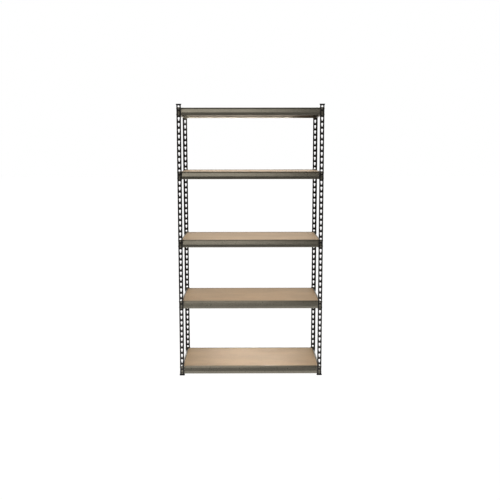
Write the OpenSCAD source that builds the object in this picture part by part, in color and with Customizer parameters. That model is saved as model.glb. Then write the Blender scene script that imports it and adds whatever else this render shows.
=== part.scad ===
// Boltless shelving rack: board shelves on sheet-steel beams, hung by rivets in keyhole posts.
// Millimetres. +X is to the right, -Y is the front, +Z is up.
// The origin is on the floor, under the middle of the rack.

/* [Rack] */
// Width over the outer faces of the posts
rack_w = 970; // [700:5:1250]
// Depth over the outer faces of the posts
rack_d = 457; // [300:1:620]
// Keyholes in each flange of a half post
half_holes = 24; // [20:1:28]

/* [Posts] */
// Distance from one keyhole to the next
pitch = 38.1; // [37.5:0.1:42]
// Width of each flange of the angle
flange_w = 28.5; // [28:0.5:31]
// Thickness of the post's sheet steel
post_t = 1.5; // [1.2:0.1:1.6]
// Outer radius of the bend between the flanges
post_bend_r = 2.8; // [2:0.1:3.4]
// Height of a keyhole
keyhole_h = 25.5; // [25:0.1:28]
// Radius of the keyhole's round upper end
keyhole_r = 7; // [6.6:0.1:7.5]
// Radius of the keyhole's narrow lower end
slot_r = 3.75; // [3.6:0.05:4.2]

/* [Caps and feet] */
// Thickness of a foot under the post's end
foot_base = 6; // [3:0.5:10]
// How far a foot's skirt reaches up the post
foot_skirt = 3.5; // [2:0.1:3.6]
// How far a foot stands out past the post
foot_flare = 3.2; // [2:0.1:6]
// Thickness of a cap over the post's end
cap_top = 2.5; // [1.5:0.1:6]
// How far a cap's skirt reaches down the post
cap_skirt = 5.5; // [4:0.1:6]
// How far a cap stands out past the post
cap_flare = 4; // [2:0.1:6]

/* [Beams] */
// Thickness of the beam's sheet steel
beam_t = 1.2; // [1:0.1:1.4]
// Height of the upright outer face
face_h = 18; // [15:0.5:20]
// Rise of the long leaning facet above it
lean_h = 21.5; // [18:0.5:22]
// How far the leaning facet goes inwards
lean_in = 8; // [5:0.5:9]
// Rise, and inward run, of the 45 degree facet at the top
brow_h = 9; // [7:0.5:9]
// Depth of the bottom flange
sole_w = 14; // [11:0.5:16]
// Length of a rivet plate's weld leg inside the beam
weld_leg = 30; // [15:1:40]

/* [Boards] */
// Thickness of a board
board_t = 12; // [9:0.5:16]
// How far a board lies below the top of its beams
board_drop = 1.5; // [0.5:0.1:3]

/* [Rivets] */
// Radius of a rivet's shank
shank_r = 3.45; // [3.2:0.05:3.45]
// Radius of a rivet's head
head_r = 6; // [5:0.1:6.2]
// Height of a rivet's head
head_h = 2.2; // [1.5:0.1:3]

/* [Hidden] */
$fn = 48;
LEVELS = 5;
CORNERS = [
    ["front_left", -1, -1, 0],
    ["front_right", 1, -1, 90],
    ["rear_right", 1, 1, 180],
    ["rear_left", -1, 1, 270],
];
SIDES = [["front", 0], ["right", 90], ["rear", 180], ["left", 270]];
HALVES = ["lower", "upper"];

steel_black = "#37332f";
steel_olive = "#75736a";
rivet_grey = "#8b8982";
plastic_black = "#161514";
board_tan = "#c9ad91";

// Gaps between pieces
slide_gap = 0.3;     // between a post and whatever hangs on it
beam_end_gap = 1;    // between a post's edge and a beam
board_side_gap = 1;  // round a board, inside the beams' top edges
board_rest_gap = 0.1;
plug_gap = 0.1;      // between a post and its cap or foot

// Posts
half_l = half_holes * pitch;
post_top = foot_base + 2 * half_l;
keyhole_top = (pitch - keyhole_h) / 2;              // of a keyhole below the top of its pitch
seat_drop = keyhole_top + keyhole_h - slot_r;       // of a seated rivet below the same place
lift = seat_drop - keyhole_top - keyhole_r;         // from the seat up to the round end

// Rivet plates, which lie just inside the post's flanges
plate_t = 1.5;
plate_y = post_t + slide_gap;
plate_x = plate_y + plate_t + 0.7;
plate_over = 1.8;    // above the beam's top edge
plate_under = 2.7;   // below the beam's bottom
rivet_x = flange_w / 2;
tail_r = 5;
tail_h = 1.2;

// Beams
nose_w = 2;
lip_h = 6;
beam_h = face_h + lean_h + brow_h + beam_t / 2;
beam_x = flange_w + beam_end_gap;
beam_y = plate_y - beam_t;
face_y = beam_y + beam_t / 2;
nose_y = face_y + lean_in + brow_h;
ledge_end = flange_w - beam_t / 2;
ledge_z = beam_h - board_drop - board_t - board_rest_gap - beam_t / 2;
beam_drop = 21.3;    // of the beam's top below the top of its keyhole's pitch
plate_h = beam_h + plate_over + plate_under;
weld_y = sole_w - beam_t / 2;

// Boards
board_inset = nose_y + nose_w + beam_t / 2 + board_side_gap;

// Keyhole pitches from the post's top down to level i; level 1 is the lowest
function level_pitches(i) = floor((LEVELS - i) * (2 * half_holes - 2) / (LEVELS - 1));
function level_top(i) = post_top - level_pitches(i) * pitch;
function beam_bottom(i) = level_top(i) - beam_drop - beam_h;

function unit(v) = v / norm(v);
function left_of(v) = [-v[1], v[0]];
function normal_at(path, k) = left_of(unit(path[k + 1] - path[k]));
// The path moved sideways by d, with mitred corners
function moved(path, d) = [
    for (k = [0:len(path) - 1])
        let (
            before = normal_at(path, max(k - 1, 0)),
            after = normal_at(path, min(k, len(path) - 2)),
            middle = unit(before + after)
        )
        path[k] + middle * d / (middle * after)
];
function reversed(path) = [for (k = [len(path) - 1:-1:0]) path[k]];

// Middle of the beam's sheet, from the bottom flange's lip round to the board ledge's lip
beam_path = [
    [sole_w, lip_h],
    [sole_w, beam_t / 2],
    [face_y, beam_t / 2],
    [face_y, face_h],
    [face_y + lean_in, face_h + lean_h],
    [nose_y, beam_h - beam_t / 2],
    [nose_y + nose_w, beam_h - beam_t / 2],
    [nose_y + nose_w, ledge_z],
    [ledge_end, ledge_z],
    [ledge_end, ledge_z - lip_h],
];

// Puts a piece drawn at the front left corner, x and y going inwards, at another corner
module at_corner(c) {
    translate([c[1] * rack_w / 2, c[2] * rack_d / 2, 0]) rotate(c[3]) children();
}

// Puts a piece drawn on the outer face y = 0, from x = 0 to the side's length, on a side
function side_length(s) = s[1] % 180 == 0 ? rack_w : rack_d;
module on_side(s) {
    across = s[1] % 180 == 0 ? rack_d : rack_w;
    rotate(s[1]) translate([-side_length(s) / 2, -across / 2, 0]) children();
}

// Both ends of a side, the second one mirrored
module both_ends(length) {
    children();
    translate([length, 0, 0]) mirror([1, 0, 0]) children();
}

// ---- Posts ----

module angle_profile(grow = 0) {
    r = post_bend_r;
    translate([r, -grow]) square([flange_w + grow - r, post_t + 2 * grow]);
    translate([-grow, r]) square([post_t + 2 * grow, flange_w + grow - r]);
    intersection() {
        translate([-grow, -grow]) square(r + grow);
        translate([r, r]) difference() {
            circle(r + grow);
            circle(r - post_t - grow);
        }
    }
}

// Round end upwards, tapering to the slot; the origin is at the top of its pitch
module keyhole() {
    high = -keyhole_top - keyhole_r;
    low = -seat_drop;
    // where the straight flanks touch both circles
    tilt = asin((keyhole_r - slot_r) / (high - low));
    touch = [cos(tilt), -sin(tilt)];
    flank = [[0, high] + keyhole_r * touch, [0, low] + slot_r * touch];
    translate([0, high]) circle(keyhole_r);
    translate([0, low]) circle(slot_r);
    polygon(concat(flank, [for (p = reversed(flank)) [-p[0], p[1]]]));
}

module keyhole_row() {
    for (k = [1:half_holes])
        translate([flange_w / 2, 2 * post_t, k * pitch])
            rotate([90, 0, 0]) linear_extrude(3 * post_t) keyhole();
}

module half_post(c, h) {
    color(steel_black)
        translate([0, 0, foot_base + (h == "upper" ? half_l : 0)])
            at_corner(c)
                difference() {
                    linear_extrude(half_l) angle_profile();
                    keyhole_row();
                    mirror([1, -1, 0]) keyhole_row();
                }
}

// ---- Caps and feet ----

// A plate over the angle's corner, standing out past it by a margin. Its inner corner is cut
// off so that a board can be lifted past it.
module corner_plate(margin, z, t) {
    corner_r = 3;
    near = corner_r - margin;
    far = flange_w + margin - corner_r;
    wing = near + 5;     // from the outer corner to where the cut starts
    for (p = [[near, near], [far, near], [far, wing], [wing, far], [near, far]])
        translate([p[0], p[1], z]) cylinder(h = t, r = corner_r, $fn = 32);
}

// Flared block, wide side down: a base, then a skirt round the post's end
module flared_block(base, skirt, flare, inner) {
    rim = 1.2;       // the skirt's thickness where it ends
    difference() {
        hull() {
            corner_plate(flare, 0, base / 2);
            corner_plate(rim, base + skirt - 0.5, 0.5);
        }
        translate([0, 0, base]) linear_extrude(skirt + 1) angle_profile(plug_gap);
        translate([post_t, post_t, base + inner]) cube([flange_w * 2, flange_w * 2, skirt]);
    }
}

module foot(c) {
    color(plastic_black) at_corner(c) flared_block(foot_base, foot_skirt, foot_flare, 2);
}

module cap(c) {
    color(plastic_black)
        translate([0, 0, post_top + cap_top])
            at_corner(c)
                mirror([0, 0, 1]) flared_block(cap_top, cap_skirt, cap_flare, 2.5);
}

// ---- Beams ----

module beam_section() {
    polygon(concat(moved(beam_path, beam_t / 2), reversed(moved(beam_path, -beam_t / 2))));
}

module along_beam(from, to) {
    translate([from, 0, 0]) rotate([90, 0, 90]) linear_extrude(to - from) children();
}

// Rivet plate at a beam's end: a leg behind the post, a web across the beam's end, a weld leg
module rivet_plate() {
    difference() {
        translate([plate_x, plate_y, -plate_under])
            cube([beam_x + plate_t - plate_x, plate_t, plate_h]);
        for (k = [0, 1])
            translate([rivet_x, 0, beam_h + beam_drop - seat_drop - k * pitch])
                rotate([-90, 0, 0]) cylinder(h = 4 * plate_y, r = shank_r);
    }
    intersection() {
        along_beam(beam_x, beam_x + weld_leg) polygon(moved(beam_path, beam_t / 2));
        translate([beam_x, 0, 0]) {
            cube([plate_t, flange_w, beam_h]);
            translate([0, weld_y - plate_t, 0]) cube([weld_leg, plate_t, beam_h]);
        }
    }
}

module beam(i, s) {
    length = side_length(s);
    color(steel_olive)
        translate([0, 0, beam_bottom(i)])
            on_side(s) {
                along_beam(beam_x, length - beam_x) beam_section();
                both_ends(length) rivet_plate();
            }
}

// ---- Rivets ----

// Along +y from the head's top, outside the post, to the upset tail behind the plate
module rivet() {
    head_y = -slide_gap;
    tail_y = plate_y + plate_t;
    rotate([-90, 0, 0]) rotate_extrude()
        polygon([
            [0, head_y - head_h],
            [head_r * 0.45, head_y - head_h],
            [head_r * 0.85, head_y - head_h * 0.6],
            [head_r, head_y],
            [shank_r, head_y],
            [shank_r, tail_y],
            [tail_r, tail_y],
            [tail_r * 0.8, tail_y + tail_h],
            [0, tail_y + tail_h],
        ]);
}

module rivets(i) {
    color(rivet_grey)
        for (s = SIDES)
            on_side(s)
                both_ends(side_length(s))
                    for (k = [0, 1])
                        translate([rivet_x, 0, level_top(i) - seat_drop - k * pitch]) rivet();
}

// ---- Boards ----

module board(i) {
    size = [rack_w - 2 * board_inset, rack_d - 2 * board_inset, board_t];
    color(board_tan)
        translate([-size[0] / 2, -size[1] / 2, beam_bottom(i) + beam_h - board_drop - board_t])
            cube(size);
}

for (c = CORNERS) {
    for (h = HALVES)
        half_post(c, h);
    cap(c);
    foot(c);
}
for (i = [1:LEVELS]) {
    for (s = SIDES)
        beam(i, s);
    rivets(i);
    board(i);
}
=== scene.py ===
import math
import random

import bmesh
import bpy
from mathutils import Matrix, Vector


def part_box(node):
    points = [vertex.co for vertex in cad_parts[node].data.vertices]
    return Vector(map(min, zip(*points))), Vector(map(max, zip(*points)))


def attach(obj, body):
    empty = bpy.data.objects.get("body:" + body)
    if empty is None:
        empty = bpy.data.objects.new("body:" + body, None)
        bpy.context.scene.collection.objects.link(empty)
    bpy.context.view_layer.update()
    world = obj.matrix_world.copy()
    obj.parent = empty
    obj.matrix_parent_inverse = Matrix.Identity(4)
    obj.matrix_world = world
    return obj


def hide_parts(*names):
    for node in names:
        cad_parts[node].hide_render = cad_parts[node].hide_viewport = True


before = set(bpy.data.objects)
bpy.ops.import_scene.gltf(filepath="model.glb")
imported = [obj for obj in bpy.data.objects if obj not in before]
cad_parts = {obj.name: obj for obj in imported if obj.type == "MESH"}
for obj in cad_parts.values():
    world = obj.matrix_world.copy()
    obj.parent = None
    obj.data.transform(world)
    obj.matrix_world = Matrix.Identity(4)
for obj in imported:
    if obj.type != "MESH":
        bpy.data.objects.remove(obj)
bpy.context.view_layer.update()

# Boltless shelving: keyhole posts, hammertone beams, fibreboard shelves. Metres, in the CAD
# frame. Each CAD node is replaced by a piece of the same size with its bends, eased edges
# and paint.

MM = 0.001
LEVELS = range(1, 6)
CORNERS = {
    "front_left": (-1, -1, 0),
    "front_right": (1, -1, 90),
    "rear_right": (1, 1, 180),
    "rear_left": (-1, 1, 270),
}
SIDES = {"front": 0, "right": 90, "rear": 180, "left": 270}

# ---- Sizes read from the frame ----

post_low, post_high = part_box("post_front_left_lower")
HALF_W, HALF_D = -post_low.x, -post_low.y
POST_FOOT = post_low.z
FLANGE = post_high.x - post_low.x
HALF_L = post_high.z - post_low.z
HALF_HOLES = 24
PITCH = HALF_L / HALF_HOLES
POST_TOP = POST_FOOT + 2 * HALF_L

# ---- Sizes of the sheet steel, rivets and boards, as in the CAD ----

POST_T = 1.5 * MM
BEND_R = 2.8 * MM
KEYHOLE_H = 25.5 * MM
KEYHOLE_R = 7 * MM
SLOT_R = 3.75 * MM
KEYHOLE_TOP = (PITCH - KEYHOLE_H) / 2
SEAT_DROP = KEYHOLE_TOP + KEYHOLE_H - SLOT_R

GAP = 0.3 * MM         # between a post and the plate or rivet head that hangs on it
BEAM_T = 1.2 * MM
FACE_H = 18 * MM
LEAN_H = 21.5 * MM
LEAN_IN = 8 * MM
BROW_H = 9 * MM
SOLE_W = 14 * MM
NOSE_W = 2 * MM
LIP_H = 6 * MM
BEAM_H = FACE_H + LEAN_H + BROW_H + BEAM_T / 2
BEAM_END = FLANGE + 1 * MM
PLATE_T = 1.5 * MM
PLATE_Y = POST_T + GAP
PLATE_X = PLATE_Y + PLATE_T + 0.7 * MM
PLATE_OVER = 1.8 * MM
PLATE_UNDER = 2.7 * MM
WELD_LEG = 30 * MM
FACE_Y = PLATE_Y - BEAM_T / 2
NOSE_Y = FACE_Y + LEAN_IN + BROW_H
LEVEL_DROP = 21.3 * MM  # a beam's top edge below the top of its upper rivets' pitch
BOARD_T = 12 * MM
BOARD_DROP = 1.5 * MM   # a board's top below the beams' top edges
BOARD_GAP = 0.1 * MM    # between a board and the ledge under it
LEDGE_Z = BEAM_H - BOARD_DROP - BOARD_T - BOARD_GAP - BEAM_T / 2

HEAD_R = 6 * MM
HEAD_H = 2.2 * MM
SHANK_R = 3.45 * MM
TAIL_R = 5 * MM
TAIL_H = 1.2 * MM

rng = random.Random(7)


# ---- Camera, made first ----

CAMERA_LENS = 48.33
CAMERA_SHIFT = -0.04
CAMERA_AT = (-0.0225, -4.6878, 1.555)
CAMERA_TURN = (-0.238, 7.027, -0.068)  # yaw, tilt down and roll, in degrees


def make_camera():
    data = bpy.data.cameras.new("camera")
    camera = bpy.data.objects.new("camera", data)
    bpy.context.scene.collection.objects.link(camera)
    data.lens = CAMERA_LENS
    data.shift_y = CAMERA_SHIFT
    yaw, tilt, roll = (math.radians(a) for a in CAMERA_TURN)
    turn = (
        Matrix.Rotation(yaw, 4, "Z")
        @ Matrix.Rotation(math.pi / 2 - tilt, 4, "X")
        @ Matrix.Rotation(roll, 4, "Z")
    )
    camera.matrix_world = Matrix.Translation(CAMERA_AT) @ turn
    bpy.context.scene.camera = camera


make_camera()


# ---- Materials ----

class Paint:
    """The shader nodes of one material, on the piece's own coordinates shifted by its seed."""

    def __init__(self, name, **shader_values):
        self.material = bpy.data.materials.new(name)
        self.material.use_nodes = True
        self.tree = self.material.node_tree
        self.shader = self.tree.nodes["Principled BSDF"]
        for socket, value in shader_values.items():
            self.shader.inputs[socket.replace("_", " ")].default_value = value
        place = self.add("ShaderNodeTexCoord").outputs["Object"]
        seed = self.add("ShaderNodeAttribute", attribute_type="OBJECT", attribute_name="seed")
        self.place = self.math("ADD", place, seed.outputs["Fac"], vector=True)

    def add(self, kind, **settings):
        node = self.tree.nodes.new(kind)
        for key, value in settings.items():
            setattr(node, key, value)
        return node

    def feed(self, socket, value):
        if isinstance(value, bpy.types.NodeSocket):
            self.tree.links.new(value, socket)
        else:
            socket.default_value = value

    def math(self, operation, a, b, vector=False):
        kind = "ShaderNodeVectorMath" if vector else "ShaderNodeMath"
        node = self.add(kind, operation=operation)
        self.feed(node.inputs[0], a)
        self.feed(node.inputs[1], b)
        return node.outputs[0]

    def stretched(self, scale):
        return self.math("MULTIPLY", self.place, scale, vector=True)

    def noise(self, scale, detail, roughness=0.5, place=None):
        node = self.add("ShaderNodeTexNoise")
        self.feed(node.inputs["Vector"], place or self.place)
        node.inputs["Scale"].default_value = scale
        node.inputs["Detail"].default_value = detail
        node.inputs["Roughness"].default_value = roughness
        return node.outputs["Fac"]

    def cells(self, scale):
        node = self.add("ShaderNodeTexVoronoi", feature="SMOOTH_F1")
        self.feed(node.inputs["Vector"], self.place)
        node.inputs["Scale"].default_value = scale
        return node.outputs["Distance"]

    def spread(self, value, low, high, to_low=0.0, to_high=1.0):
        node = self.add("ShaderNodeMapRange", interpolation_type="SMOOTHSTEP")
        self.feed(node.inputs["Value"], value)
        for socket, number in zip(node.inputs[1:5], (low, high, to_low, to_high)):
            socket.default_value = number
        return node.outputs["Result"]

    def blend(self, amount, a, b):
        node = self.add("ShaderNodeMix", data_type="RGBA")
        self.feed(node.inputs["Factor"], amount)
        for socket, colour in ((node.inputs["A"], a), (node.inputs["B"], b)):
            colour = colour if isinstance(colour, bpy.types.NodeSocket) else (*colour, 1.0)
            self.feed(socket, colour)
        return node.outputs["Result"]

    def attribute(self, name):
        return self.add("ShaderNodeAttribute", attribute_name=name).outputs["Fac"]

    def bump(self, height, distance, strength, below=None):
        node = self.add("ShaderNodeBump")
        node.inputs["Strength"].default_value = strength
        node.inputs["Distance"].default_value = distance
        self.feed(node.inputs["Height"], height)
        if below is not None:
            self.feed(node.inputs["Normal"], below)
        return node.outputs["Normal"]

    def finish(self, colour, roughness, normal):
        self.feed(self.shader.inputs["Base Color"], colour)
        self.feed(self.shader.inputs["Roughness"], roughness)
        self.feed(self.shader.inputs["Normal"], normal)
        return self.material


def toned(colour, factor):
    """The colour, lighter or darker by this factor."""
    return tuple(c * factor for c in colour)


def post_paint():
    """Near-black powder coat: orange peel, uneven gloss, and scuffs on the punched rims."""
    paint = Paint("post_paint", Metallic=0.0)
    darker, lighter = (0.026, 0.023, 0.0215), (0.04, 0.0365, 0.0345)
    coat = paint.blend(paint.spread(paint.noise(30, 4), 0.35, 0.65), darker, lighter)
    scuffed = paint.math(
        "MULTIPLY",
        paint.spread(paint.attribute("wear"), 0.75, 0.97),
        paint.spread(paint.noise(140, 4, 0.65), 0.5, 0.66, 0.0, 0.7),
    )
    colour = paint.blend(scuffed, coat, (0.12, 0.115, 0.108))
    roughness = paint.spread(paint.noise(70, 3), 0.3, 0.7, 0.34, 0.5)
    peel = paint.bump(paint.noise(650, 2), 0.12 * MM, 0.5)
    normal = paint.bump(paint.noise(2600, 2), 0.03 * MM, 0.5, peel)
    return paint.finish(colour, roughness, normal)


def hammertone(name, worn=False):
    """Olive-grey hammered enamel: shallow dimples ringed by darker seams, with metal flake.

    A worn one is rubbed lighter in spots.
    """
    paint = Paint(name, Metallic=0.68, Coat_Weight=0.2, Coat_Roughness=0.16)
    dimple = paint.cells(330)
    base = (0.265, 0.251, 0.211)
    seams = paint.blend(paint.spread(dimple, 0.25, 0.75), base, toned(base, 0.8))
    drift = paint.spread(paint.noise(9, 3), 0.3, 0.7)
    flaked = paint.blend(paint.spread(dimple, 0.2, 0.8), toned(base, 1.08), toned(base, 0.86))
    colour = paint.blend(drift, seams, flaked)
    if worn:
        rubbed = paint.spread(paint.noise(420, 3), 0.5, 0.62)
        colour = paint.blend(rubbed, colour, (0.33, 0.316, 0.275))
    roughness = paint.spread(paint.noise(160, 3), 0.3, 0.7, 0.27, 0.38)
    hammered = paint.bump(dimple, 0.2 * MM, 0.32)
    normal = paint.bump(paint.noise(1900, 2), 0.02 * MM, 0.5, hammered)
    return paint.finish(colour, roughness, normal)


def painted_light_inside():
    """Inside of the beams: painted light, a matt warm grey much lighter than the outside paint,
    standing in for the floor's light on the beams' inner side, with dusty streaks along the beam.
    """
    paint = Paint("beam_inside_painted_light", Metallic=0.1)
    streaks = paint.noise(1, 3, 0.6, paint.stretched((14, 160, 160)))
    dark, pale = (0.36, 0.33, 0.29), (0.45, 0.415, 0.37)
    colour = paint.blend(paint.spread(streaks, 0.3, 0.7), dark, pale)
    roughness = paint.spread(paint.noise(210, 3), 0.3, 0.7, 0.5, 0.68)
    normal = paint.bump(paint.noise(800, 3), 0.04 * MM, 0.5)
    return paint.finish(colour, roughness, normal)


def board_face():
    """Sanded fibreboard: fine chips and fibres, cloudy tone, faint sanding streaks."""
    paint = Paint("board_face", IOR=1.35)
    tan = (0.62, 0.478, 0.322)
    clouds = paint.noise(1, 4, 0.55, paint.stretched((3.5, 8, 8)))
    cloudy = paint.blend(paint.spread(clouds, 0.3, 0.7), toned(tan, 0.93), toned(tan, 1.05))
    chips = paint.spread(paint.noise(320, 5, 0.65), 0.45, 0.6)
    pale_chip = paint.blend(0.35, cloudy, (0.67, 0.52, 0.355))
    mottled = paint.blend(chips, cloudy, pale_chip)
    fibres = paint.noise(1, 3, 0.6, paint.stretched((160, 900, 900)))
    flecks = paint.math("MULTIPLY", paint.spread(fibres, 0.6, 0.72), 0.6)
    colour = paint.blend(flecks, mottled, (0.34, 0.235, 0.145))
    streaks = paint.noise(1, 2, 0.5, paint.stretched((12, 500, 500)))
    roughness = paint.spread(streaks, 0.3, 0.7, 0.46, 0.58)
    grain = paint.bump(fibres, 0.05 * MM, 0.6)
    normal = paint.bump(chips, 0.04 * MM, 0.4, grain)
    return paint.finish(colour, roughness, normal)


def board_edge():
    """Sawn edge of the fibreboard: darker, matt, with layers along it."""
    paint = Paint("board_edge", IOR=1.4)
    layers = paint.noise(1, 4, 0.6, paint.stretched((90, 90, 1100)))
    dark_layer, pale_layer = (0.40, 0.275, 0.185), (0.55, 0.41, 0.29)
    colour = paint.blend(paint.spread(layers, 0.35, 0.65), dark_layer, pale_layer)
    roughness = paint.spread(paint.noise(500, 3), 0.3, 0.7, 0.75, 0.92)
    normal = paint.bump(layers, 0.15 * MM, 0.7)
    return paint.finish(colour, roughness, normal)


def black_plastic():
    """Moulded black plastic: fine spark texture, greyer where it has been handled."""
    paint = Paint("black_plastic", IOR=1.49)
    handled = paint.spread(paint.noise(120, 4, 0.6), 0.45, 0.7)
    colour = paint.blend(handled, (0.013, 0.013, 0.013), (0.025, 0.0245, 0.024))
    roughness = paint.spread(paint.noise(300, 3), 0.3, 0.7, 0.4, 0.58)
    normal = paint.bump(paint.noise(2200, 2), 0.05 * MM, 0.5)
    return paint.finish(colour, roughness, normal)


POST_PAINT = post_paint()
BEAM_PAINT = hammertone("beam_paint")
# the beams' inner skin: painted light, a lighter grey standing in for the floor's light on it
BEAM_INSIDE_PAINTED_LIGHT = painted_light_inside()
RIVET_PAINT = hammertone("rivet_paint", worn=True)
BOARD_FACE = board_face()
BOARD_EDGE = board_edge()
BLACK_PLASTIC = black_plastic()


# ---- Mesh helpers ----

def add_faces(shape, rings, closed):
    """Quads between neighbouring rows of points; closed joins each row's ends."""
    rows = [[shape.verts.new(p) for p in ring] for ring in rings]
    for a, b in zip(rows, rows[1:]):
        n = len(a)
        for k in range(n if closed else n - 1):
            j = (k + 1) % n
            shape.faces.new((a[k], a[j], b[j], b[k]))
    return rows


def add_prism(shape, outline, place, depth):
    """A closed prism: outline points (u, v) set down by place(u, v, w), for w from 0 to depth."""
    ends = [[place(u, v, w) for u, v in outline] for w in (0, depth)]
    rows = add_faces(shape, ends, closed=True)
    for row in rows:
        shape.faces.new(row)


def mesh_of(shape, name, materials, smooth_deg=32):
    """The shape as a mesh, shaded smooth but for edges sharper than smooth_deg."""
    bmesh.ops.remove_doubles(shape, verts=shape.verts, dist=0.001 * MM)
    bmesh.ops.recalc_face_normals(shape, faces=shape.faces)
    mesh = bpy.data.meshes.new(name)
    shape.to_mesh(mesh)
    shape.free()
    for material in materials:
        mesh.materials.append(material)
    mesh.shade_smooth()
    mesh.set_sharp_from_angle(angle=math.radians(smooth_deg))
    return mesh


def piece(mesh, node, body, at=Matrix.Identity(4), eased=0.0):
    """A finished piece that stands for one CAD node."""
    made = bpy.data.objects.new(node + "_made", mesh)
    bpy.context.scene.collection.objects.link(made)
    made.matrix_world = at
    made["seed"] = rng.uniform(0, 50)
    if eased:
        bevel = made.modifiers.new("eased edges", "BEVEL")
        bevel.width = eased
        bevel.segments = 1
        bevel.limit_method = "ANGLE"
        bevel.angle_limit = math.radians(50)
        bevel.harden_normals = True
    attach(made, body)
    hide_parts(node)
    return made


def corner_place(corner, z=0.0):
    """Where a post's outer corner is, with both flanges along its own +x and +y."""
    x, y, turn = CORNERS[corner]
    at = Matrix.Translation((x * HALF_W, y * HALF_D, z))
    return at @ Matrix.Rotation(math.radians(turn), 4, "Z")


def side_length(side):
    return 2 * (HALF_W if SIDES[side] % 180 == 0 else HALF_D)


def side_place(side, z=0.0):
    """Where a side's beam starts, with the beam along its own +x and the inside towards +y."""
    across = HALF_D if SIDES[side] % 180 == 0 else HALF_W
    turn = Matrix.Rotation(math.radians(SIDES[side]), 4, "Z")
    return turn @ Matrix.Translation((-side_length(side) / 2, -across, z))


def arc(centre, radius, start_deg, end_deg, steps):
    """Points of an arc in a plane, both ends included."""
    sweep = end_deg - start_deg
    angles = [math.radians(start_deg + sweep * k / steps) for k in range(steps + 1)]
    return [(centre[0] + radius * math.cos(a), centre[1] + radius * math.sin(a)) for a in angles]


def rounded(points, radius, steps=3, closed=False):
    """The path with an arc of this radius at each corner."""
    made, n = [], len(points)
    for k, point in enumerate(points):
        if not closed and k in (0, n - 1):
            made.append(point)
            continue
        corner = Vector(point)
        back = (Vector(points[k - 1]) - corner).normalized()
        ahead = (Vector(points[(k + 1) % n]) - corner).normalized()
        half = back.angle(ahead) / 2
        centre = corner + (back + ahead).normalized() * radius / math.sin(half)
        reach = radius / math.tan(half)
        first, last = corner + back * reach - centre, corner + ahead * reach - centre
        sweep = first.angle_signed(last)
        for i in range(steps + 1):
            made.append(tuple(centre + Matrix.Rotation(-sweep * i / steps, 2) @ first))
    return made


def moved(path, d):
    """The open path moved to its left by d."""
    normals = []
    for a, b in zip(path, path[1:]):
        along = (Vector(b) - Vector(a)).normalized()
        normals.append(Vector((-along.y, along.x)))
    made = []
    for k, point in enumerate(path):
        before, after = normals[max(k - 1, 0)], normals[min(k, len(normals) - 1)]
        middle = (before + after).normalized()
        made.append(tuple(Vector(point) + middle * d / middle.dot(after)))
    return made


# ---- Posts ----

ARC_STEPS = 8          # round the keyhole's upper end, each side
SLOT_STEPS = 6         # round its lower end, each side
FLANK_STEPS = 2
EDGE_STEPS = 4         # from a flange's middle to each side, along the top of a pitch
SIDE_STEPS = 8         # down a flange's side, each pitch
BEND_STEPS = 5
POST_EASE = 0.25 * MM


def keyhole_half():
    """Right half of a keyhole from its top to its bottom, round the middle of its flange."""
    high, low = -KEYHOLE_TOP - KEYHOLE_R, -SEAT_DROP
    tilt = math.degrees(math.asin((KEYHOLE_R - SLOT_R) / (high - low)))
    upper = arc((0, high), KEYHOLE_R, 90, -tilt, ARC_STEPS)
    lower = arc((0, low), SLOT_R, -tilt, -90, SLOT_STEPS)
    a, b = Vector(upper[-1]), Vector(lower[0])
    flank = [tuple(a.lerp(b, k / FLANK_STEPS)) for k in range(1, FLANK_STEPS)]
    return upper + flank + lower


def pitch_half(width):
    """Right half of the pitch's edge, point for point with keyhole_half."""
    top = [(width * k / EDGE_STEPS, 0.0) for k in range(EDGE_STEPS)]
    side = [(width, -PITCH * k / SIDE_STEPS) for k in range(SIDE_STEPS)]
    bottom = [(width * (1 - k / EDGE_STEPS), -PITCH) for k in range(EDGE_STEPS + 1)]
    return top + side + bottom


def bend_point(degrees, depth):
    """A point of the corner bend, this deep into the sheet, as (x, y)."""
    reach = BEND_R - depth
    a = math.radians(degrees)
    return BEND_R - reach * math.sin(a), BEND_R - reach * math.cos(a)


def half_post_mesh():
    """An L-angle with a row of keyholes in each flange; the outer corner is on the z axis."""
    shape = bmesh.new()
    wear = shape.verts.layers.float.new("wear")
    middle = FLANGE / 2
    hole = keyhole_half()
    flanges = (lambda u, depth, z: (u, depth, z), lambda u, depth, z: (depth, u, z))
    for cell in range(1, HALF_HOLES + 1):
        top = cell * PITCH
        for set_down in flanges:
            for side, width in ((1, FLANGE - middle), (-1, middle - BEND_R)):
                edge = pitch_half(width)
                rings = []
                for depth in (0, POST_T):
                    outer = [set_down(middle + side * u, depth, top + z) for u, z in edge]
                    rim = [set_down(middle + side * u, depth, top + z) for u, z in hole]
                    rings.append((outer, rim))
                (outer_skin, outer_rim), (inner_skin, inner_rim) = rings
                around = [outer_skin, outer_rim, inner_rim, inner_skin]
                rows = add_faces(shape, around, closed=False)
                for vert in rows[1] + rows[2]:
                    vert[wear] = 1.0
                if side == 1:
                    # the flange's free edge
                    span = slice(EDGE_STEPS, EDGE_STEPS + SIDE_STEPS + 1)
                    add_faces(shape, [outer_skin[span], inner_skin[span]], closed=False)
    heights = [PITCH * k / SIDE_STEPS for k in range(HALF_HOLES * SIDE_STEPS + 1)]
    turns = [90 * k / BEND_STEPS for k in range(BEND_STEPS + 1)]
    for depth in (0, POST_T):
        skin = [[(*bend_point(t, depth), z) for z in heights] for t in turns]
        add_faces(shape, skin, closed=False)
    # the sheared ends, from one flange's edge round the bend to the other's
    runs = [middle + (FLANGE - middle) * k / EDGE_STEPS for k in range(EDGE_STEPS, 0, -1)]
    runs += [middle - (middle - BEND_R) * k / EDGE_STEPS for k in range(EDGE_STEPS)]
    for z in (0, HALF_L):
        rows = []
        for depth in (0, POST_T):
            first = [(u, depth, z) for u in runs]
            bend = [(*bend_point(t, depth), z) for t in turns]
            rows.append(first + bend + [(depth, u, z) for u in reversed(runs)])
        add_faces(shape, rows, closed=False)
    return mesh_of(shape, "half_post", [POST_PAINT])


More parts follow.
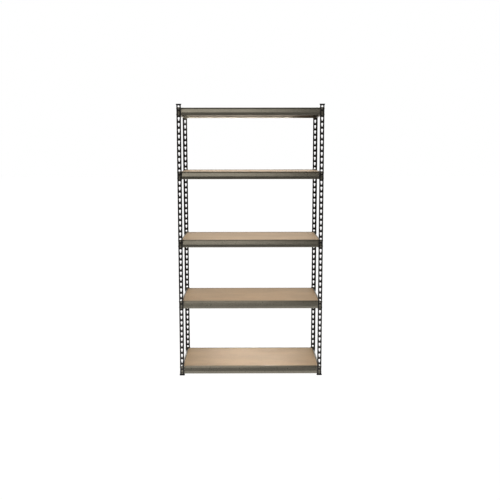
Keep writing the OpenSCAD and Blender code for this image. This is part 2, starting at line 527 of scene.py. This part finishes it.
def make_posts():
    mesh = half_post_mesh()
    for corner in CORNERS:
        for half, z in (("lower", POST_FOOT), ("upper", POST_FOOT + HALF_L)):
            place = corner_place(corner, z)
            piece(mesh, f"post_{corner}_{half}", "root", place, POST_EASE)


# ---- Caps and feet ----

FOOT_BASE = POST_FOOT
FOOT_SKIRT = 3.5 * MM
FOOT_FLARE = 3.2 * MM
FOOT_FLOOR = 2 * MM    # plastic above the base, inside the post
CAP_TOP = 2.5 * MM
CAP_SKIRT = 5.5 * MM
CAP_FLARE = 4 * MM
CAP_FLOOR = 2.5 * MM
RIM = 1.2 * MM
PLUG_GAP = 0.1 * MM
BLOCK_SOFT = 0.7 * MM  # roundness of the wide side's edge
BLOCK_R = 3 * MM
WING = 9.24 * MM       # from a block's outer corner to where its inner corner is cut off


def block_outline(margin):
    """The block's outline at this margin past the post, its inner corner cut off."""
    near, far = -margin, FLANGE + margin
    points = [(near, near), (far, near), (far, near + WING), (near + WING, far), (near, far)]
    return rounded(points, BLOCK_R, steps=5, closed=True)


def block_profile(base, skirt, flare):
    """(margin past the post, z) up a block's side: a rounded foot, the flare, a softened rim."""
    soft, top = BLOCK_SOFT, base + skirt
    profile = [(flare - soft * (1 - math.sin(a)), soft * (1 - math.cos(a)))
               for a in (0, math.pi / 6, math.pi / 3, math.pi / 2)]
    profile += [(flare, base / 2), (flare - 0.2 * MM, base / 2 + 0.5 * MM)]
    profile += [(RIM + 0.1 * MM, top - 0.9 * MM), (RIM, top - 0.5 * MM)]
    profile += [(RIM - 0.1 * MM, top - 0.15 * MM), (RIM - 0.3 * MM, top)]
    return profile


def block_mesh(name, base, skirt, flare, inner, upside_down=False):
    """A moulded block, wide side down, hollowed for the post's end and for the space inside it."""
    profile = block_profile(base, skirt, flare)
    shape = bmesh.new()
    rings = [[(x, y, z) for x, y in block_outline(margin)] for margin, z in profile]
    rows = add_faces(shape, rings, closed=True)
    for row in (rows[0], rows[-1]):
        shape.faces.new(row)
    solid = bpy.data.objects.new(name, mesh_of(shape, name, [BLACK_PLASTIC]))
    a, b, c = -PLUG_GAP, POST_T + PLUG_GAP, FLANGE + PLUG_GAP
    slot = [(a, a), (c, a), (c, b), (b, b), (b, c), (a, c)]
    wide = 2 * FLANGE
    inside = [(POST_T, POST_T), (wide, POST_T), (wide, wide), (POST_T, wide)]
    cutters = []
    for outline, start in ((slot, base), (inside, base + inner)):
        cutter = bmesh.new()
        add_prism(cutter, outline, lambda u, v, w: (u, v, start + w), 2 * skirt)
        cutters.append(bpy.data.objects.new("cutter", mesh_of(cutter, "cutter", [])))
    for thing in (solid, *cutters):
        bpy.context.scene.collection.objects.link(thing)
    for cutter in cutters:
        cut = solid.modifiers.new("cut", "BOOLEAN")
        cut.operation, cut.solver, cut.object = "DIFFERENCE", "EXACT", cutter
    bpy.context.view_layer.update()
    graph = bpy.context.evaluated_depsgraph_get()
    mesh = bpy.data.meshes.new_from_object(solid.evaluated_get(graph))
    for thing in (solid, *cutters):
        bpy.data.objects.remove(thing)
    mesh.name = name
    if upside_down:
        mesh.transform(Matrix.Scale(-1, 4, (0, 0, 1)))
        mesh.flip_normals()
    mesh.shade_smooth()
    mesh.set_sharp_from_angle(angle=math.radians(35))
    return mesh


def make_blocks():
    foot = block_mesh("foot", FOOT_BASE, FOOT_SKIRT, FOOT_FLARE, FOOT_FLOOR)
    cap = block_mesh("cap", CAP_TOP, CAP_SKIRT, CAP_FLARE, CAP_FLOOR, upside_down=True)
    for corner in CORNERS:
        piece(foot, f"foot_{corner}", "root", corner_place(corner))
        piece(cap, f"cap_{corner}", "root", corner_place(corner, POST_TOP + CAP_TOP))


# ---- Beams ----

BEAM_PATH = [
    (SOLE_W, LIP_H),
    (SOLE_W, BEAM_T / 2),
    (FACE_Y, BEAM_T / 2),
    (FACE_Y, FACE_H),
    (FACE_Y + LEAN_IN, FACE_H + LEAN_H),
    (NOSE_Y, BEAM_H - BEAM_T / 2),
    (NOSE_Y + NOSE_W, BEAM_H - BEAM_T / 2),
    (NOSE_Y + NOSE_W, LEDGE_Z),
    (FLANGE - BEAM_T / 2, LEDGE_Z),
    (FLANGE - BEAM_T / 2, LEDGE_Z - LIP_H),
]
BEAM_BEND_R = 1.3 * MM
BEAM_STEP = 60 * MM
BEAM_EASE = 0.15 * MM
PLATE_R = 2.5 * MM
WELD_R = 0.6 * MM
WELD_BEDDED = 0.75 * MM  # how far the welded tab's top runs into the leaning face


def beam_mesh(name, length):
    """A roll-formed beam, front at y = 0, with a rivet plate welded in at each end."""
    shape = bmesh.new()
    path = rounded(BEAM_PATH, BEAM_BEND_R, steps=4)
    section = moved(path, BEAM_T / 2) + list(reversed(moved(path, -BEAM_T / 2)))
    n_along = max(8, round(length / BEAM_STEP))
    span = length - 2 * BEAM_END
    starts = [BEAM_END + span * k / n_along for k in range(n_along + 1)]
    rows = add_faces(shape, [[(x, y, z) for y, z in section] for x in starts], closed=True)
    shape.faces.ensure_lookup_table()
    for k, face in enumerate(shape.faces):
        # a section's later half is its inner skin, which gets the lighter grey of painted light
        face.material_index = int(k % len(section) >= len(path))
    for row in (rows[0], rows[-1]):
        # the sheet's cut end, as quads from its outer to its inner skin
        n = len(path)
        for k in range(n - 1):
            shape.faces.new((row[k], row[k + 1], row[2 * n - 2 - k], row[2 * n - 1 - k]))
    low, high = -PLATE_UNDER, BEAM_H + PLATE_OVER
    end = BEAM_END + PLATE_T
    leg = [(PLATE_X, low), (end, low), (end, high), (PLATE_X, high)]
    leg = rounded(leg, PLATE_R, steps=5, closed=True)
    weld_y = SOLE_W - BEAM_T / 2
    weld_top = FACE_H + LEAN_H + weld_y - PLATE_T - FACE_Y - LEAN_IN + WELD_BEDDED
    near, far = BEAM_END + 0.1 * MM, BEAM_END + WELD_LEG
    weld = [(near, BEAM_T), (far, BEAM_T), (far, weld_top), (near, weld_top)]
    weld = rounded(weld, WELD_R, closed=True)
    for x_of in (lambda x: x, lambda x: length - x):
        add_prism(shape, leg, lambda u, v, w: (x_of(u), PLATE_Y + w, v), PLATE_T)
        add_prism(shape, path, lambda u, v, w: (x_of(BEAM_END + 0.05 * MM + w), u, v), PLATE_T)
        add_prism(shape, weld, lambda u, v, w: (x_of(u), weld_y - PLATE_T + w, v), PLATE_T)
    return mesh_of(shape, name, [BEAM_PAINT, BEAM_INSIDE_PAINTED_LIGHT], smooth_deg=40)


def level_top(level):
    """Top of the pitch that a level's upper rivets hang in."""
    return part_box(f"beam_{level}_front")[1].z - PLATE_OVER + LEVEL_DROP


def make_beams():
    long_mesh = beam_mesh("long_beam", 2 * HALF_W)
    short_mesh = beam_mesh("short_beam", 2 * HALF_D)
    for level in LEVELS:
        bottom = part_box(f"beam_{level}_front")[0].z + PLATE_UNDER
        for side, turn in SIDES.items():
            mesh = long_mesh if turn % 180 == 0 else short_mesh
            place = side_place(side, bottom)
            piece(mesh, f"beam_{level}_{side}", f"level_{level}", place, BEAM_EASE)


# ---- Rivets ----

RIVET_STEPS = 28


def rivet_profile():
    """(radius, y) from the domed head's top, outside the post, to the upset tail."""
    head_y, tail_y = -GAP, PLATE_Y + PLATE_T
    rim = 0.3 * MM
    turns = [math.pi / 2 * k / 7 for k in range(8)]
    dome = [(HEAD_R * math.sin(t), head_y - rim - (HEAD_H - rim) * math.cos(t)) for t in turns]
    under = [(HEAD_R - 0.1 * MM, head_y), (SHANK_R, head_y), (SHANK_R, tail_y)]
    tail = [(TAIL_R, tail_y), (TAIL_R, tail_y + 0.5 * MM), (TAIL_R * 0.8, tail_y + TAIL_H)]
    return dome + under + tail + [(0, tail_y + TAIL_H)]


def add_rivet(shape, place):
    turns = [2 * math.pi * k / RIVET_STEPS for k in range(RIVET_STEPS)]
    rings = []
    for radius, y in rivet_profile():
        ring = [Vector((radius * math.cos(t), y, radius * math.sin(t))) for t in turns]
        rings.append([place @ point for point in ring])
    add_faces(shape, rings, closed=True)


def make_rivets():
    for level in LEVELS:
        shape = bmesh.new()
        for side in SIDES:
            for x in (FLANGE / 2, side_length(side) - FLANGE / 2):
                for pitches in (0, 1):
                    z = level_top(level) - SEAT_DROP - pitches * PITCH
                    add_rivet(shape, side_place(side) @ Matrix.Translation((x, 0, z)))
        mesh = mesh_of(shape, f"rivets_{level}", [RIVET_PAINT])
        piece(mesh, f"rivets_{level}", f"level_{level}")


# ---- Boards ----

ARRIS = 0.5 * MM
UNEVEN = 0.12 * MM
BOARD_CELLS = 60, 28


def board_mesh(level):
    """A sawn board: arrises just broken by the saw, faces a little uneven."""
    low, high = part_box(f"board_{level}")
    middle, half = (low + high) / 2, (high - low) / 2
    nx, ny = BOARD_CELLS
    phase = [rng.uniform(0, 2 * math.pi) for _ in range(4)]

    def swell(x, y):
        wave = math.sin(x * 9 + phase[0]) * math.sin(y * 11 + phase[1])
        return UNEVEN * (0.5 + 0.5 * wave * math.sin(x * 4 + phase[2]))

    def grid(z, towards):
        """Rows of points over a face, sunk a little towards the board's inside."""
        rows = []
        for j in range(ny + 1):
            y = low.y + ARRIS + (high.y - low.y - 2 * ARRIS) * j / ny
            row = []
            for i in range(nx + 1):
                x = low.x + ARRIS + (high.x - low.x - 2 * ARRIS) * i / nx
                inside = 0 < i < nx and 0 < j < ny
                row.append((x, y, z + (towards * swell(x, y) if inside else 0)))
            rows.append(row)
        return rows

    def edge_of(rows):
        """The grid's outermost points, once round."""
        ahead = rows[0][:-1] + [row[-1] for row in rows[:-1]]
        back = list(reversed(rows[-1]))[:-1] + [row[0] for row in reversed(rows[1:])]
        return ahead + back

    shape = bmesh.new()
    top, bottom = grid(high.z, -1), grid(low.z, 1)
    add_faces(shape, top, closed=False)
    add_faces(shape, bottom, closed=False)
    n_faces = len(shape.faces)

    def outwards(value, centre, reach):
        """The value moved out to the board's side, if it is at the edge of a face."""
        off = value - centre
        return value + (math.copysign(ARRIS, off) if abs(off) > reach - 2 * ARRIS else 0)

    def side_point(point, z):
        x, y, _ = point
        return outwards(x, middle.x, half.x), outwards(y, middle.y, half.y), z

    rim = edge_of(top)
    chipped = [rng.uniform(0.7, 1.3) * ARRIS for _ in rim]
    rings = [rim, [side_point(p, high.z - c) for p, c in zip(rim, chipped)]]
    rings += [[side_point(p, low.z + c) for p, c in zip(rim, chipped)], edge_of(bottom)]
    add_faces(shape, rings, closed=True)
    shape.faces.ensure_lookup_table()
    for face in shape.faces[n_faces:]:
        face.material_index = 1
    return mesh_of(shape, f"board_{level}", [BOARD_FACE, BOARD_EDGE], smooth_deg=25)


def make_boards():
    for level in LEVELS:
        piece(board_mesh(level), f"board_{level}", f"board_{level}")


# ---- Stage, world and lights ----

FLOOR_REACH = 30
FLOOR_FRONT = -2.9


def make_floor():
    """Pale studio floor, white to the camera but for a faint shadow under the rack."""
    mesh = bpy.data.meshes.new("floor")
    x, front, back = FLOOR_REACH, FLOOR_FRONT, FLOOR_REACH
    corners = [(-x, front, 0), (x, front, 0), (x, back, 0), (-x, back, 0)]
    mesh.from_pydata(corners, [], [(0, 1, 2, 3)])
    floor = bpy.data.objects.new("floor", mesh)
    bpy.context.scene.collection.objects.link(floor)
    paint = Paint("floor", Roughness=0.9)
    tone = paint.blend(paint.noise(3, 3), (0.80, 0.79, 0.775), (0.84, 0.83, 0.815))
    normal = paint.bump(paint.noise(220, 3), 0.1 * MM, 0.3)
    material = paint.finish(tone, 0.9, normal)
    tree = material.node_tree
    glow = tree.nodes.new("ShaderNodeEmission")
    seen = tree.nodes.new("ShaderNodeLightPath").outputs["Is Camera Ray"]
    # the glow's strength and share, first for light on the rack, then for the camera
    tree.links.new(paint.spread(seen, 0.0, 1.0, 1.8, 1.06), glow.inputs["Strength"])
    share = paint.spread(seen, 0.0, 1.0, 0.6, 0.93)
    mix = tree.nodes.new("ShaderNodeMixShader")
    tree.links.new(share, mix.inputs[0])
    tree.links.new(paint.shader.outputs[0], mix.inputs[1])
    tree.links.new(glow.outputs[0], mix.inputs[2])
    tree.links.new(mix.outputs[0], tree.nodes["Material Output"].inputs["Surface"])
    mesh.materials.append(material)


def make_world():
    """White to the camera. Its light comes from a bright sweep behind the rack."""
    world = bpy.data.worlds.new("studio")
    bpy.context.scene.world = world
    world.use_nodes = True
    tree = world.node_tree
    nodes, links = tree.nodes, tree.links
    nodes.clear()
    place = nodes.new("ShaderNodeTexCoord")
    apart = nodes.new("ShaderNodeSeparateXYZ")
    links.new(place.outputs["Generated"], apart.inputs[0])

    def ranged(value, low, high, to_low, to_high):
        node = nodes.new("ShaderNodeMapRange")
        node.interpolation_type = "SMOOTHSTEP"
        links.new(value, node.inputs["Value"])
        for socket, number in zip(node.inputs[1:5], (low, high, to_low, to_high)):
            socket.default_value = number
        return node.outputs["Result"]

    def times(a, b):
        node = nodes.new("ShaderNodeMath")
        node.operation = "MULTIPLY"
        links.new(a, node.inputs[0])
        links.new(b, node.inputs[1])
        return node.outputs[0]

    # bright to the rear, dim to the front, and dimmer both overhead and at the horizon
    behind = ranged(apart.outputs["Y"], -0.1, 0.9, 0.12, 1.15)
    not_above = ranged(apart.outputs["Z"], 0.45, 0.95, 1.0, 0.35)
    not_low = ranged(apart.outputs["Z"], 0.0, 0.4, 0.45, 1.4)
    strength = times(times(behind, not_above), not_low)
    lit = nodes.new("ShaderNodeBackground")
    lit.inputs["Color"].default_value = (1.0, 0.985, 0.96, 1)
    links.new(strength, lit.inputs["Strength"])
    seen = nodes.new("ShaderNodeBackground")
    seen.inputs["Color"].default_value = (1, 1, 1, 1)
    seen.inputs["Strength"].default_value = 1.0
    path = nodes.new("ShaderNodeLightPath")
    mix = nodes.new("ShaderNodeMixShader")
    links.new(path.outputs["Is Camera Ray"], mix.inputs[0])
    links.new(lit.outputs[0], mix.inputs[1])
    links.new(seen.outputs[0], mix.inputs[2])
    out = nodes.new("ShaderNodeOutputWorld")
    links.new(mix.outputs[0], out.inputs[0])


# name, place, facing, width, height, radiance, spread in degrees
LAMPS = [
    ("key", (-0.8, -2.62, 4.0), (0, 0.348, -0.937), 2.6, 4.2, 1.9, 180),
    ("front", (-0.3, -4.6, 2.3), (0, 1, -0.45), 3.6, 1.8, 0.62, 180),
    ("rear", (0.1, 3.2, 3.3), (0, -3.2, -2.7), 1.6, 1.6, 3.0, 180),
    # a pale sheen on the lowest board
    ("low_shelf", (0, 2.6, 1.5), (0, -2.55, -1.4), 0.7, 0.1, 0.75, 12),
    # light on the inside of the top level's rear beam
    ("under_top", (-0.08, -0.16, 1.69), (0, 0.37, 0.07), 0.8, 0.04, 2.1, 40),
]


def softbox(name, at, facing, width, height, radiance, spread):
    data = bpy.data.lights.new(name, "AREA")
    data.shape = "RECTANGLE"
    data.size, data.size_y = width, height
    data.energy = radiance * math.pi * width * height
    data.spread = math.radians(spread)
    data.color = (1.0, 0.975, 0.94)
    light = bpy.data.objects.new(name, data)
    bpy.context.scene.collection.objects.link(light)
    light.location = at
    light.rotation_euler = Vector(facing).to_track_quat("-Z", "Y").to_euler()
    light.visible_camera = False


make_posts()
make_blocks()
make_beams()
make_rivets()
make_boards()
make_floor()
make_world()
for lamp in LAMPS:
    softbox(*lamp)

view = bpy.context.scene.view_settings
view.view_transform = "Standard"
view.look = "None"
view.gamma = 0.75
